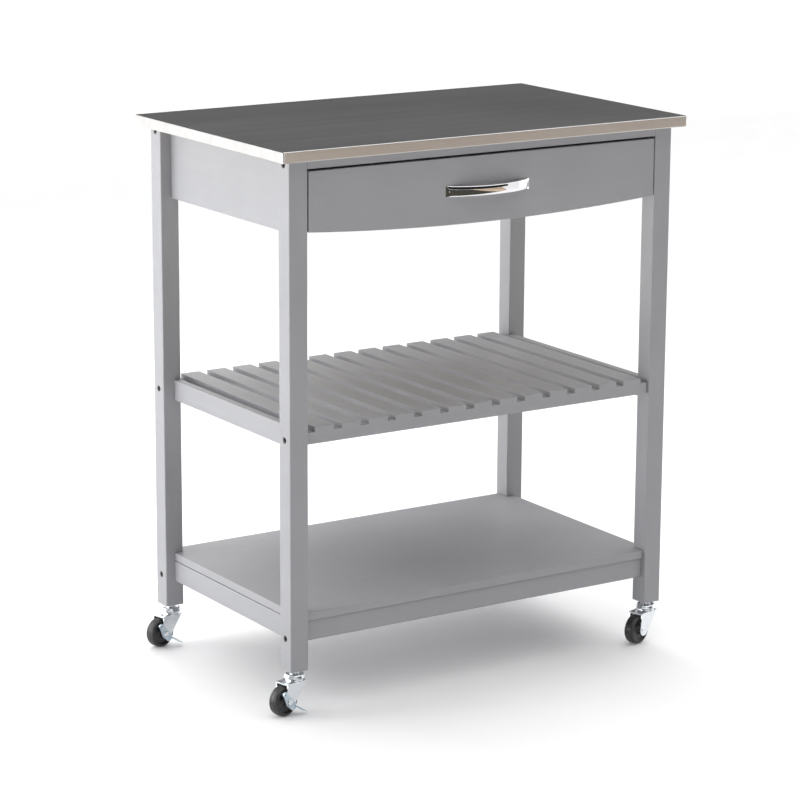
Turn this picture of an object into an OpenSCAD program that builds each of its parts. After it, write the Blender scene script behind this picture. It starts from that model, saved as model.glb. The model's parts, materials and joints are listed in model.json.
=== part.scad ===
// Rolling kitchen cart: steel-clad worktop, one drawer on roller slides, a slatted shelf,
// a solid lower shelf, four wooden legs and four swivel casters, two of them with brakes.
// +X runs to the right along the front, -Y is the front, +Z is up, and the floor is z = 0.

/* [Worktop] */
// Width of the worktop from side to side
top_w = 770; // [740:1:800]
// Depth of the worktop from front to back
top_d = 476; // [460:1:500]
// Thickness of the worktop, steel included
top_t = 18; // [16:1:24]
// Thickness of the steel sheet around the core
sheet_t = 1; // [0.6:0.1:1.5]

/* [Frame] */
// Height of the worktop surface above the floor
height = 903; // [880:1:930]
// Width over the outer faces of the legs
frame_w = 730; // [700:1:736]
// Depth over the outer faces of the legs
frame_d = 444; // [430:1:450]
// Side of the square legs
leg_s = 33; // [31:1:36]
// Height of the side and back aprons
apron_h = 117; // [110:1:125]

/* [Drawer] */
// Height of the drawer front at its two ends
front_h = 94.5; // [90:0.5:97]
// How far the middle of the drawer front hangs below its ends
front_sag = 13; // [4:1:16]
// Length of the roller slides
slide_len = 350; // [300:10:360]
// Length of the drawer handle
handle_len = 160; // [140:2:180]
// How far the handle stands out from the drawer front
handle_out = 22; // [18:1:26]

/* [Shelves] */
// Number of slats in the middle shelf
slat_n = 13; // [9:1:13]
// Width of one slat
slat_w = 34.5; // [30:0.5:38]
// Thickness of one slat
slat_t = 11; // [9:0.5:12]
// Height of the slat tops above the floor
mid_top = 464.5; // [440:0.5:490]
// Height of the lower shelf's top above the floor
low_top = 163.5; // [155:0.5:180]
// Thickness of the lower shelf board
board_t = 14.5; // [12:0.5:18]

/* [Casters] */
// Radius of the caster wheels
wheel_r = 25; // [24:0.5:25.5]
// Distance of a wheel's axle behind its swivel axis
trail = 25; // [24:0.5:28]
// Resting swivel angles: front left, front right, back left, back right
caster_turn = [14, 17, 14, 11];

/* [Hidden] */
$fn = 64;
eps = 0.01;
gap = 0.05;                             // gap around pieces that sit in their own bores

// Corners of the frame: front left, front right, back left, back right.
CORNERS = [[-1, -1], [1, -1], [-1, 1], [1, 1]];
leg_bottom = 71;                        // height of the casters
top_z = height - top_t;                 // underside of the worktop, top of the legs
leg_h = top_z - leg_bottom;
leg_ease = 2;                           // eased edges of the legs
in_x = frame_w / 2 - leg_s;             // inner faces of the legs
in_y = frame_d / 2 - leg_s;
leg_cx = frame_w / 2 - leg_s / 2;       // centre lines of the legs
leg_cy = frame_d / 2 - leg_s / 2;
front_y = -frame_d / 2;                 // front faces of the legs and the drawer front

// The footprint's box, with casters and handle, is centred on the origin.
reach_left = leg_cx + (trail + wheel_r) * cos(caster_turn[0]) + 2;
shift_x = (reach_left - top_w / 2) / 2;
shift_y = (frame_d / 2 + handle_out - top_d / 2) / 2;

// Worktop
top_corner_r = 4;
lip_w = 12;                             // steel folded in under the edge

// Rails: thickness, all flush with the inner faces of the legs at the sides
apron_t = 14;
mid_rail_t = 13;
low_rail_t = 16;
apron_z = top_z - apron_h;
back_apron_y = frame_d / 2 - 10 - apron_t;
top_rail_h = 14;
top_rail_d = 28;
mid_rail_h = 34.5;
mid_rail_z = mid_top - 2.5 - mid_rail_h;
tray_inset = 5;                         // slat ends and their rails behind the leg faces
tray_rail_d = 22;
slat_lap = 8.5;                         // what is left of a slat where it lies on a rail
tray_rail_h = 18.5;
tray_gap = 1.5;                         // between the slatted shelf's rails and the legs
tray_y = frame_d / 2 - tray_inset;
slat_pitch = (2 * in_x + slat_w) / (slat_n + 1) + 0.06;
low_rail_h = 35;
low_rail_z = low_top - board_t - low_rail_h;
low_inset = 10;
low_front_t = 15;
low_front_h = 33;
board_inset = 6;

// Roller slides: channel on the apron, runner on the drawer side
steel_t = 1.2;
slide_z = 786;                          // running surface of the channel
roller_r = 8;
roller_w = 7;
roller_z = slide_z + roller_r + 0.1;
runner_z = roller_z + roller_r + 0.1;   // underside of the runner's flange
slide_front_y = front_y + 19;
roller_front_y = slide_front_y + 10;
roller_rear_y = slide_front_y + slide_len - 12;
stub_r = 2.5;

// Drawer box
box_x = in_x - 12.5;                    // outer faces of the drawer sides
box_t = 12;
box_z = 778;
box_h = 80;
front_t = 16;
front_gap = 2;
front_top = top_z - top_rail_h - 3.5;
front_end_z = front_top - front_h;
box_front_y = front_y + front_t;
dado = 6;                               // depth of the grooves
box_rear_y = slide_front_y + slide_len - 6;
panel_t = 5;
panel_z = box_z + 8;

// Handle
handle_z = 814.5;
handle_h = 18;
handle_foot = 13;
handle_inner = handle_out - 4.5;
handle_screw_x = handle_len / 2 - 7;

// Fasteners
bolt_r = 3;
bolt_head_r = 5;
bolt_head_l = 6;
bolt_sink = 7;                          // depth of the bolts' counterbores
bolt_len = 50;
nut_r = 5;
nut_in = 14;                            // barrel nuts from the ends of the rails
BOLT_Z = [top_z - top_rail_h / 2, mid_top - slat_lap - tray_rail_h / 2, 124];
dowel_r = 4;
dowel_in = 12;
APRON_DOWEL_Z = [apron_z + 32, apron_z + 82];
MID_DOWEL_Z = [mid_rail_z + 8, mid_rail_z + 27];
LOW_DOWEL_Z = [low_rail_z + 19, low_rail_z + 29];
screw_r = 2;
CLEAT_SCREW_Y = [-120, 0, 120];
BOARD_SCREW_Y = [-110, 110];
SLIDE_SCREW_AT = [30, slide_len / 2, slide_len - 30];
cleat_s = 20;
cleat_len = 320;

// Casters, in their own frame: swivel axis at x = y = 0, wheel trailing towards -X
plate_t = 2.4;
plate_top = 54.3;
plate_z = plate_top - plate_t;          // underside of the fork's top plate
fork_t = 2.2;
fork_in = 11.3;                         // inner faces of the fork's legs
fork_out = fork_in + fork_t;
fork_end_r = 10.5;
fork_end_x = -trail + 4;
race_r = 11.8;
ball_r = 2;
ball_n = 12;
ball_z = plate_top + 4.9;
cap_r = 17.5;
cap_t = 1.8;
cap_top = plate_top + 10.7;
kingpin_r = 4;
stem_r = 5.5;
stem_in = 30;                           // how far the stem reaches up into the leg
axle_r = 3;
lever_t = 1.6;
lever_y = -fork_out - 0.3;              // inner face of the brake lever

WOOD = [0.60, 0.60, 0.62];
RAW = [0.76, 0.68, 0.54];
STEEL = [0.52, 0.51, 0.50];
ZINC = [0.78, 0.80, 0.82];
CHROME = [0.85, 0.85, 0.86];
DARK = [0.06, 0.06, 0.06];
NYLON = [0.90, 0.90, 0.88];

function mirrored(side) = side < 0 ? [0, 0, 0] : [1, 0, 0];
function arc_r(chord, rise) = (chord * chord / 4 + rise * rise) / (2 * rise);

// --- Helpers -------------------------------------------------------------------------

module placed() {
  translate([shift_x, shift_y, 0]) children();
}

// A box from its lowest to its highest corner.
module block(lo, hi) {
  translate(lo) cube(hi - lo);
}

// Draws the left-hand piece, or its mirror image on the right.
module on_side(side) {
  mirror(mirrored(side)) children();
}

// A rod along X, Y or Z from a point.
module rod_x(at, r, l) {
  translate(at) rotate([0, 90, 0]) cylinder(r = r, h = l);
}

module rod_y(at, r, l) {
  translate(at) rotate([-90, 0, 0]) cylinder(r = r, h = l);
}

module rod_z(at, r, l) {
  translate(at) cylinder(r = r, h = l);
}

// A rectangle with round corners, centred, extruded upwards.
module round_slab(w, d, h, r) {
  translate([-w / 2 + r, -d / 2, 0]) cube([w - 2 * r, d, h]);
  translate([-w / 2, -d / 2 + r, 0]) cube([w, d - 2 * r, h]);
  for (c = CORNERS) {
    translate([c[0] * (w / 2 - r), c[1] * (d / 2 - r), 0]) cylinder(r = r, h = h);
  }
}

// --- Worktop -------------------------------------------------------------------------

// What the steel sheet is folded around: the core, with a rebate for the folded lip.
module core_shape() {
  w = top_w - 2 * sheet_t;
  d = top_d - 2 * sheet_t;
  translate([0, 0, top_z + sheet_t]) {
    round_slab(w, d, top_t - 2 * sheet_t, top_corner_r - sheet_t);
  }
  translate([0, 0, top_z]) {
    round_slab(w - 2 * lip_w, d - 2 * lip_w, sheet_t + eps, top_corner_r - sheet_t);
  }
}

module worktop_skin() {
  color(STEEL) placed() difference() {
    translate([0, 0, top_z]) round_slab(top_w, top_d, top_t, top_corner_r);
    core_shape();
    translate([0, 0, top_z - 1]) {
      round_slab(top_w - 2 * sheet_t - 2 * lip_w, top_d - 2 * sheet_t - 2 * lip_w,
                 sheet_t + 1 + eps, top_corner_r - sheet_t);
    }
  }
}

module worktop_core() {
  color(RAW) placed() difference() {
    core_shape();
    cleat_screw_bores(screw_r + gap);
  }
}

// --- Fasteners and their bores ----------------------------------------------------------

// The bolts' line through one leg, from its outer face inwards, at each of the three levels.
module bolt_lines(corner) {
  for (z = BOLT_Z) {
    translate([corner[0] * frame_w / 2, corner[1] * leg_cy, z]) {
      rotate([0, 0, corner[0] < 0 ? 0 : 180]) children();
    }
  }
}

module bolt_bore() {
  rod_x([-eps, 0, 0], bolt_head_r + 0.3, bolt_sink + eps);
  rod_x([0, 0, 0], bolt_r + 0.3, bolt_sink + bolt_len + 2);
}

module bolt() {
  difference() {
    union() {
      rod_x([bolt_sink - bolt_head_l, 0, 0], bolt_head_r, bolt_head_l);
      rod_x([bolt_sink - eps, 0, 0], bolt_r, bolt_len);
    }
    translate([bolt_sink - bolt_head_l - eps, 0, 0]) rotate([0, 90, 0]) {
      cylinder(r = 2.9, h = 3.5, $fn = 6);
    }
  }
}

// A barrel nut stands upright in the flat rails and lies front to back in the tall ones.
module nut_places(level) {
  for (corner = CORNERS) {
    x = corner[0] * (in_x - nut_in);
    upright = level == 1 || (level == 0 && corner[1] < 0);
    translate([x, corner[1] * leg_cy, BOLT_Z[level]]) {
      rotate([upright ? 0 : 90, 0, 0]) children();
    }
  }
}

module nut_bore(grow = 0.1) {
  translate([0, 0, -6 - grow]) cylinder(r = nut_r + grow, h = 12 + 2 * grow);
}

module barrel_nuts() {
  color(ZINC) placed() for (level = [0, 1, 2]) {
    nut_places(level) difference() {
      nut_bore(0);
      rotate([0, 90, 0]) cylinder(r = bolt_r + gap, h = 3 * nut_r, center = true);
    }
  }
}

module frame_bolts() {
  color(DARK) placed() for (corner = CORNERS) {
    bolt_lines(corner) bolt();
  }
}

// Bores for the bolts and nuts of one level in the rails along X.
module rail_bores(level) {
  for (corner = CORNERS) {
    x = corner[0] * frame_w / 2;
    translate([x, corner[1] * leg_cy, BOLT_Z[level]]) {
      rotate([0, 0, corner[0] < 0 ? 0 : 180]) {
        rod_x([leg_s - 5, 0, 0], bolt_r + 0.3, bolt_sink + bolt_len - leg_s + 7);
      }
    }
  }
  nut_places(level) nut_bore();
}

// Dowels between the side rails and the legs, in line along Y.
module dowels(side, x_mid, zs, grow = 0) {
  for (z = zs) {
    for (end = [-1, 1]) {
      rod_y([side * x_mid, end * in_y - dowel_in - grow, z], dowel_r + grow,
            2 * (dowel_in + grow));
    }
  }
}

module side_dowels(side, grow = 0) {
  dowels(side, in_x + apron_t / 2, APRON_DOWEL_Z, grow);
  dowels(side, in_x + mid_rail_t / 2, MID_DOWEL_Z, grow);
  dowels(side, in_x + low_rail_t / 2, LOW_DOWEL_Z, grow);
}

module frame_dowels() {
  color(RAW) placed() {
    side_dowels(-1);
    side_dowels(1);
  }
}

// A countersunk wood screw along +Z, its head's face at z = 0.
module wood_screw(l, grow = 0) {
  translate([0, 0, -grow]) cylinder(r1 = 2 * screw_r + grow, r2 = screw_r + grow, h = 2.4 + grow);
  translate([0, 0, -grow]) cylinder(r = screw_r + grow, h = l + 2 * grow);
}

module cleat_screw_bores(r) {
  for (side = [-1, 1]) {
    for (y = CLEAT_SCREW_Y) {
      rod_z([side * (in_x - cleat_s / 2), y, top_z - cleat_s - eps], r, cleat_s + 10.5);
    }
  }
}

// The frame's screws: cleat to worktop, side rail to board, slat rail to slat, slide to apron.
module frame_screws() {
  color(ZINC) placed() {
    for (side = [-1, 1]) {
      for (y = CLEAT_SCREW_Y) {
        translate([side * (in_x - cleat_s / 2), y, top_z - cleat_s]) wood_screw(30);
      }
      for (y = BOARD_SCREW_Y) {
        translate([side * (in_x + low_rail_t / 2), y, low_rail_z + 5]) wood_screw(40);
      }
      slat_screw_places(side) wood_screw(24);
      slide_screw_places(side) translate([steel_t, 0, 0]) rotate([0, 0, 180]) pan_screw(11);
    }
  }
}

module slat_screw_places(end) {
  for (i = [0 : slat_n - 1]) {
    translate([slat_x(i), end * (tray_y - tray_rail_d / 2), mid_top - slat_lap - tray_rail_h]) {
      children();
    }
  }
}

// --- Legs, aprons and rails ---------------------------------------------------------------

module leg(corner) {
  color(WOOD) placed() difference() {
    translate([corner[0] * leg_cx, corner[1] * leg_cy, leg_bottom]) {
      round_slab(leg_s, leg_s, leg_h, leg_ease);
    }
    bolt_lines(corner) bolt_bore();
    side_dowels(corner[0], gap);
    rod_z([corner[0] * leg_cx, corner[1] * leg_cy, leg_bottom - 1], stem_r + gap, stem_in + 2);
  }
}

module leg_front_left() { leg(CORNERS[0]); }
module leg_front_right() { leg(CORNERS[1]); }
module leg_back_left() { leg(CORNERS[2]); }
module leg_back_right() { leg(CORNERS[3]); }

// A rail along Y between two legs, flush with their inner faces.
module side_rail(side, t, z, h) {
  color(WOOD) placed() difference() {
    on_side(side) block([-in_x - t, -in_y, z], [-in_x, in_y, z + h]);
    side_dowels(side, gap);
    for (y = BOARD_SCREW_Y) {
      translate([side * (in_x + low_rail_t / 2), y, low_rail_z]) {
        translate([0, 0, -1]) cylinder(r = 2 * screw_r + 0.5, h = 6);
        translate([0, 0, 5]) wood_screw(40, gap);
      }
    }
    slide_screw_places(side) rod_x([-11, 0, 0], screw_r + gap, 14);
  }
}

module side_apron_left() { side_rail(-1, apron_t, apron_z, apron_h); }
module side_apron_right() { side_rail(1, apron_t, apron_z, apron_h); }
module mid_rail_left() { side_rail(-1, mid_rail_t, mid_rail_z, mid_rail_h); }
module mid_rail_right() { side_rail(1, mid_rail_t, mid_rail_z, mid_rail_h); }
module low_rail_left() { side_rail(-1, low_rail_t, low_rail_z, low_rail_h); }
module low_rail_right() { side_rail(1, low_rail_t, low_rail_z, low_rail_h); }

module back_apron() {
  color(WOOD) placed() difference() {
    block([-in_x, back_apron_y, apron_z], [in_x, back_apron_y + apron_t, top_z]);
    rail_bores(0);
  }
}

module front_top_rail() {
  color(WOOD) placed() difference() {
    block([-in_x, front_y + 0.5, top_z - top_rail_h], [in_x, front_y + top_rail_d, top_z]);
    rail_bores(0);
  }
}

module worktop_cleats() {
  color(RAW) placed() difference() {
    for (side = [-1, 1]) {
      on_side(side) {
        block([-in_x, -cleat_len / 2, top_z - cleat_s], [-in_x + cleat_s, cleat_len / 2, top_z]);
      }
    }
    for (side = [-1, 1]) {
      for (y = CLEAT_SCREW_Y) {
        translate([side * (in_x - cleat_s / 2), y, top_z - cleat_s]) wood_screw(30, gap);
      }
    }
  }
}

// --- Slatted middle shelf -------------------------------------------------------------------

function slat_x(i) = (i - (slat_n - 1) / 2) * slat_pitch;

module tray_rail(end) {
  z = mid_top - slat_lap - tray_rail_h;
  x = in_x - tray_gap;
  color(WOOD) placed() difference() {
    mirror([0, end > 0 ? 1 : 0, 0]) {
      block([-x, -tray_y, z], [x, -tray_y + tray_rail_d, z + tray_rail_h]);
    }
    rail_bores(1);
    slat_screw_places(end) wood_screw(24, gap);
  }
}

module mid_rail_front() { tray_rail(-1); }
module mid_rail_back() { tray_rail(1); }

// The slats are rebated at both ends, where they lie on their rails.
module mid_slats() {
  color(WOOD) placed() difference() {
    for (i = [0 : slat_n - 1]) {
      translate([slat_x(i), 0, mid_top - slat_t]) {
        translate([-slat_w / 2, -tray_y, 0]) cube([slat_w, 2 * tray_y, slat_t]);
      }
    }
    for (end = [-1, 1]) {
      slat_screw_places(end) wood_screw(24, gap);
      mirror([0, end > 0 ? 1 : 0, 0]) {
        block([-in_x, -tray_y - 1, mid_top - slat_t - 1],
              [in_x, -tray_y + tray_rail_d + 0.3, mid_top - slat_lap]);
      }
    }
  }
}

// --- Lower shelf ------------------------------------------------------------------------------

module low_cross_rail(end) {
  y = frame_d / 2 - low_inset;
  z = low_top - board_t;
  color(WOOD) placed() difference() {
    mirror([0, end > 0 ? 1 : 0, 0]) {
      block([-in_x, -y, z - low_front_h], [in_x, -y + low_front_t, z]);
    }
    rail_bores(2);
  }
}

module low_rail_front() { low_cross_rail(-1); }
module low_rail_back() { low_cross_rail(1); }

// The board is notched around the four legs.
module low_board() {
  fit = 0.4;
  half_d = frame_d / 2 - board_inset;
  half_w = in_x + low_rail_t;
  z = low_top - board_t;
  color(WOOD) placed() difference() {
    union() {
      block([-in_x + fit, -half_d, z], [in_x - fit, half_d, low_top]);
      block([-half_w, -in_y + fit, z], [half_w, in_y - fit, low_top]);
    }
    for (side = [-1, 1]) {
      for (y = BOARD_SCREW_Y) {
        translate([side * (in_x + low_rail_t / 2), y, low_rail_z + 5]) wood_screw(40, gap);
      }
    }
  }
}

// --- Roller slides ------------------------------------------------------------------------------

module slide_screw_places(side) {
  on_side(side) {
    for (d = SLIDE_SCREW_AT) {
      translate([-in_x, slide_front_y + d, slide_z + 28]) children();
    }
  }
}

// Channel on the apron: a web with two flanges, and the stub that the front roller turns on.
module slide_channel(side) {
  y1 = slide_front_y + slide_len;
  web = -in_x + steel_t;
  color(ZINC) placed() difference() {
    on_side(side) {
      block([-in_x, slide_front_y, slide_z - steel_t], [web, y1, slide_z + 36]);
      for (z = [slide_z - steel_t, runner_z + 1.8]) {
        block([web - eps, slide_front_y, z], [-box_x - steel_t - 0.6, y1, z + steel_t]);
      }
      rod_x([web - eps, roller_front_y, roller_z], stub_r, 9);
    }
    slide_screw_places(side) rod_x([-1, 0, 0], screw_r + gap, 4);
  }
}

module slide_channel_left() { slide_channel(-1); }
module slide_channel_right() { slide_channel(1); }

// Runner on the drawer side: it rests on the front roller and carries the rear one.
module slide_runner(side) {
  y0 = slide_front_y - 2;
  y1 = slide_front_y + slide_len - 4;
  web = -box_x - steel_t;
  color(ZINC) placed() difference() {
    on_side(side) {
      block([web, y0, slide_z + 1], [-box_x, y1, slide_z + 32]);
      block([-in_x + steel_t + 1, y0, runner_z], [web + eps, y1, runner_z + steel_t]);
      rod_x([-in_x + steel_t + 1, roller_rear_y, roller_z], stub_r, 9.5);
    }
    runner_screw_places(side) rod_x([-4, 0, 0], screw_r + gap, 8);
  }
}

module slide_runner_left() { slide_runner(-1); }
module slide_runner_right() { slide_runner(1); }

module runner_screw_places(side) {
  on_side(side) {
    for (d = [60, slide_len - 60]) {
      translate([-box_x - steel_t, slide_front_y + d, slide_z + 26]) children();
    }
  }
}

// A nylon roller with a running bore.
module roller(side, y) {
  x = -in_x + steel_t + 1.3;
  color(NYLON) placed() on_side(side) difference() {
    rod_x([x, y, roller_z], roller_r, roller_w);
    rod_x([x - 1, y, roller_z], stub_r + gap, roller_w + 2);
  }
}

module roller_front_left() { roller(-1, roller_front_y); }
module roller_front_right() { roller(1, roller_front_y); }
module roller_rear_left() { roller(-1, roller_rear_y); }
module roller_rear_right() { roller(1, roller_rear_y); }

// A short pan-head screw along +X, its head's underside at x = 0.
module pan_screw(l) {
  rod_x([-1.6, 0, 0], 3.4, 1.6);
  rod_x([-eps, 0, 0], screw_r, l);
}

// --- Drawer ---------------------------------------------------------------------------------------

// The front board: straight ends and top, and a shallow downward arc along the bottom. The
// grooves for the drawer's sides run out at the bottom, where they don't show.
module drawer_front() {
  w = 2 * (in_x - front_gap);
  r = arc_r(w, front_sag);
  arc_mid = front_end_z - front_sag + r;
  steps = 48;
  xs = [for (k = [0 : steps]) w * (k / steps - 0.5)];
  arc = [for (x = xs) [x, arc_mid - sqrt(r * r - x * x)]];
  color(WOOD) placed() difference() {
    translate([0, front_y + front_t, 0]) rotate([90, 0, 0]) linear_extrude(front_t) {
      polygon(concat(arc, [[w / 2, front_top], [-w / 2, front_top]]));
    }
    for (side = [-1, 1]) {
      on_side(side) {
        block([-box_x - gap, box_front_y - dado, front_end_z - front_sag],
              [-box_x + box_t + gap, box_front_y + 1, box_z + box_h + gap]);
      }
      rod_y([side * handle_screw_x, front_y - 1, handle_z], screw_r + 0.2, front_t + 2);
    }
    block([-box_x + box_t - dado, box_front_y - dado + 0.3, panel_z - gap],
          [box_x - box_t + dado, box_front_y + 1, panel_z + panel_t + gap]);
  }
}

module drawer_side(side) {
  color(RAW) placed() difference() {
    on_side(side) difference() {
      block([-box_x, box_front_y - dado + gap, box_z], [-box_x + box_t, box_rear_y, box_z + box_h]);
      block([-box_x + box_t - dado, front_y, panel_z - gap],
            [-box_x + box_t + 1, box_rear_y + 1, panel_z + panel_t + gap]);
    }
    runner_screw_places(side) rod_x([-1, 0, 0], screw_r + gap, 12.2);
    back_screw_places(side) {
      rod_x([-1, 0, 0], screw_r + gap, 30);
      rod_x([-1, 0, 0], 3.4 + gap, 2.7);
    }
  }
}

module drawer_side_left() { drawer_side(-1); }
module drawer_side_right() { drawer_side(1); }

module back_screw_places(side) {
  on_side(side) {
    for (dz = [22, 60]) {
      translate([-box_x, box_rear_y - box_t / 2 - 2, box_z + dz]) children();
    }
  }
}

module drawer_back() {
  color(RAW) placed() difference() {
    block([-box_x + box_t, box_rear_y - box_t - 2, box_z],
          [box_x - box_t, box_rear_y - 2, box_z + box_h]);
    block([-box_x, box_rear_y - box_t - 3, panel_z - gap],
          [box_x, box_rear_y - box_t - 2 + dado, panel_z + panel_t + gap]);
    back_screw_places(-1) rod_x([0, 0, 0], screw_r + gap, 30);
    back_screw_places(1) rod_x([0, 0, 0], screw_r + gap, 30);
  }
}

module drawer_bottom() {
  x = box_x - box_t + dado - 0.5;
  color(RAW) placed() {
    block([-x, box_front_y - dado + 0.5, panel_z],
          [x, box_rear_y - box_t - 2 + dado - 0.5, panel_z + panel_t]);
  }
}

// The drawer's screws: runner to side, side to back, front to handle.
module drawer_screws() {
  color(ZINC) placed() for (side = [-1, 1]) {
    runner_screw_places(side) pan_screw(11);
    back_screw_places(side) translate([1.6, 0, 0]) pan_screw(26);
    rod_y([side * handle_screw_x, front_y - 3.4, handle_z], screw_r, front_t + 3.4 + eps);
    rod_y([side * handle_screw_x, box_front_y, handle_z], 3.8, 2.4);
  }
}

// A bow of flat bar: the outer and the inner face are two arcs that meet the drawer front.
module drawer_handle() {
  inner_len = handle_len - 2 * handle_foot;
  r_out = arc_r(handle_len, handle_out);
  r_in = arc_r(inner_len, handle_inner);
  color(CHROME) placed() difference() {
    translate([0, 0, handle_z - handle_h / 2]) linear_extrude(handle_h) difference() {
      translate([0, front_y - handle_out + r_out]) circle(r = r_out, $fn = 360);
      translate([0, front_y - handle_inner + r_in]) circle(r = r_in, $fn = 360);
      translate([-200, front_y]) square([400, 400]);
    }
    for (side = [-1, 1]) {
      rod_y([side * handle_screw_x, front_y - 3.6, handle_z], screw_r + gap, 4);
    }
  }
}

// --- Casters ----------------------------------------------------------------------------------------

// The casters' own frame at corner i, turned to its resting swivel angle.
module at_caster(i) {
  placed() translate([CORNERS[i][0] * leg_cx, CORNERS[i][1] * leg_cy, 0]) {
    rotate([0, 0, caster_turn[i]]) children();
  }
}

// The four stems: a kingpin below, shoulder and collar around the cap, and a rod up into the leg.
module caster_stems() {
  shoulder_z = cap_top - cap_t;
  color(ZINC) for (i = [0 : 3]) {
    at_caster(i) rotate_extrude() polygon([
      [0, plate_z - 1.7], [7, plate_z - 1.7], [7, plate_z - 0.2], [kingpin_r, plate_z - 0.2],
      [kingpin_r, shoulder_z - 1.2], [6.5, shoulder_z - 1.2], [6.5, shoulder_z], [5, shoulder_z],
      [5, cap_top], [8, cap_top], [8, cap_top + 2.6], [stem_r, cap_top + 2.6],
      [stem_r, leg_bottom + stem_in], [0, leg_bottom + stem_in]
    ]);
  }
}

// A ring of balls for each swivel.
module caster_balls() {
  color(STEEL) for (i = [0 : 3]) {
    at_caster(i) for (k = [0 : ball_n - 1]) {
      rotate([0, 0, k * 360 / ball_n]) translate([race_r, 0, ball_z]) sphere(r = ball_r, $fn = 24);
    }
  }
}

// The domed cap over the balls.
module caster_cap(i) {
  rim_z = plate_top + 3.5;
  color(ZINC) at_caster(i) rotate_extrude() polygon([
    [5 + gap, cap_top - cap_t], [13.2, cap_top - cap_t], [15.9, rim_z + 2.5], [15.9, rim_z],
    [cap_r, rim_z], [cap_r, rim_z + 2.8], [cap_r - 0.9, rim_z + 4.6], [cap_r - 2.9, cap_top - 0.6],
    [cap_r - 4.5, cap_top], [5 + gap, cap_top]
  ]);
}

module caster_cap_front_left() { caster_cap(0); }
module caster_cap_front_right() { caster_cap(1); }
module caster_cap_back_left() { caster_cap(2); }
module caster_cap_back_right() { caster_cap(3); }

// Outline of one fork leg: from the top plate down to a round end about the axle.
module fork_leg_outline() {
  top_front = [14, plate_top];
  end = [fork_end_x, wheel_r];
  to = top_front - end;
  turn = atan2(to[1], to[0]) - acos(fork_end_r / norm(to));
  translate(end) circle(r = fork_end_r);
  polygon([
    top_front, end + fork_end_r * [cos(turn), sin(turn)], end,
    end + fork_end_r * [cos(170), sin(170)], [-trail - 2, plate_top]
  ]);
}

module caster_fork(i) {
  color(ZINC) at_caster(i) difference() {
    union() {
      translate([0, 0, plate_z]) cylinder(r = 16.5, h = plate_t);
      block([-trail - 3, -fork_out, plate_z], [0, fork_out, plate_top]);
      for (y = [-fork_out, fork_in]) {
        translate([0, y + fork_t, 0]) rotate([90, 0, 0]) linear_extrude(fork_t) fork_leg_outline();
      }
      rotate_extrude() polygon([
        [8.5, plate_top - 1], [14.8, plate_top - 1], [14.8, plate_top + 2.4],
        [13.4, plate_top + 2.7], [8.5, plate_top + 2.7]
      ]);
    }
    rod_z([0, 0, plate_z - 1], kingpin_r + gap, 12);
    rod_y([-trail, -fork_out - 1, wheel_r], axle_r + gap, 2 * fork_out + 2);
  }
}

module caster_fork_front_left() { caster_fork(0); }
module caster_fork_front_right() { caster_fork(1); }
module caster_fork_back_left() { caster_fork(2); }
module caster_fork_back_right() { caster_fork(3); }

// A riveted axle. Where there is a brake, its near end stands out to carry the lever.
module caster_axle(i) {
  near = has_brake(i) ? -lever_y + lever_t + 0.3 : fork_out;
  color(ZINC) at_caster(i) translate([-trail, 0, wheel_r]) rotate([-90, 0, 0]) {
    rotate_extrude() polygon([
      [0, -near - 1.4], [3.6, -near - 1.4], [4.6, -near], [axle_r, -near],
      [axle_r, fork_out], [4.6, fork_out], [3.6, fork_out + 1.4], [0, fork_out + 1.4]
    ]);
  }
}

function has_brake(i) = CORNERS[i][0] < 0;

module caster_axle_front_left() { caster_axle(0); }
module caster_axle_front_right() { caster_axle(1); }
module caster_axle_back_left() { caster_axle(2); }
module caster_axle_back_right() { caster_axle(3); }

// A moulded wheel: crowned tread, dished sides and a hub between the fork's legs.
module caster_wheel(i) {
  hub = fork_in - 0.4;
  r = wheel_r;
  half = [
    [axle_r + gap, hub], [6.8, hub], [7.4, 7.4], [8.4, 6], [r - 8.2, 5.2], [r - 6.6, 6.2],
    [r - 5.6, 8.6], [r - 4, 9], [r - 2.4, 8.8], [r - 1, 7.8], [r - 0.3, 6.4], [r, 4.6]
  ];
  n = len(half);
  other = [for (k = [n - 1 : -1 : 0]) [half[k][0], -half[k][1]]];
  color(DARK) at_caster(i) translate([-trail, 0, wheel_r]) rotate([-90, 0, 0]) {
    rotate_extrude() polygon(concat(half, other));
  }
}

module caster_wheel_front_left() { caster_wheel(0); }
module caster_wheel_front_right() { caster_wheel(1); }
module caster_wheel_back_left() { caster_wheel(2); }
module caster_wheel_back_right() { caster_wheel(3); }

// A stamped side brake: a plate on the axle, a tongue beside the wheel and a foot tab.
module brake_lever(i) {
  upper = [-9.5, 14.5];
  lower = [7, -7.5];
  tab = [11, -9];
  color(ZINC) at_caster(i) translate([-trail, 0, wheel_r]) difference() {
    union() {
      translate([0, lever_y, 0]) rotate([90, 0, 0]) linear_extrude(lever_t) union() {
        translate(upper) circle(r = 4.6);
        translate(lower) circle(r = 7);
        circle(r = 7.6);
        polygon([
          upper + [4.2, 1.9], upper - [4.1, 2], [-7.3, -2], [1, -11], lower + [3, -6.3],
          lower + [6.6, 2.4], [6.6, 4]
        ]);
      }
      translate(concat(upper[0] - 3.2, lever_y - eps, upper[1] - 2)) cube([3, 3.9, 4]);
      translate([tab[0], lever_y - lever_t, tab[1]]) rotate([0, 33, 0]) {
        translate([0, -9, 0]) cube([21, 9 + lever_t, lever_t]);
      }
    }
    rod_y([0, lever_y - lever_t - 1, 0], axle_r + 0.08, lever_t + 2);
    for (p = [upper, [-3.4, -4.6]]) {
      rod_y([p[0], lever_y - lever_t - 1, p[1]], 1.3, lever_t + 1.2);
    }
  }
}

module brake_lever_front_left() { brake_lever(0); }
module brake_lever_back_left() { brake_lever(2); }

// --- Nodes --------------------------------------------------------------------------------------------

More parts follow.
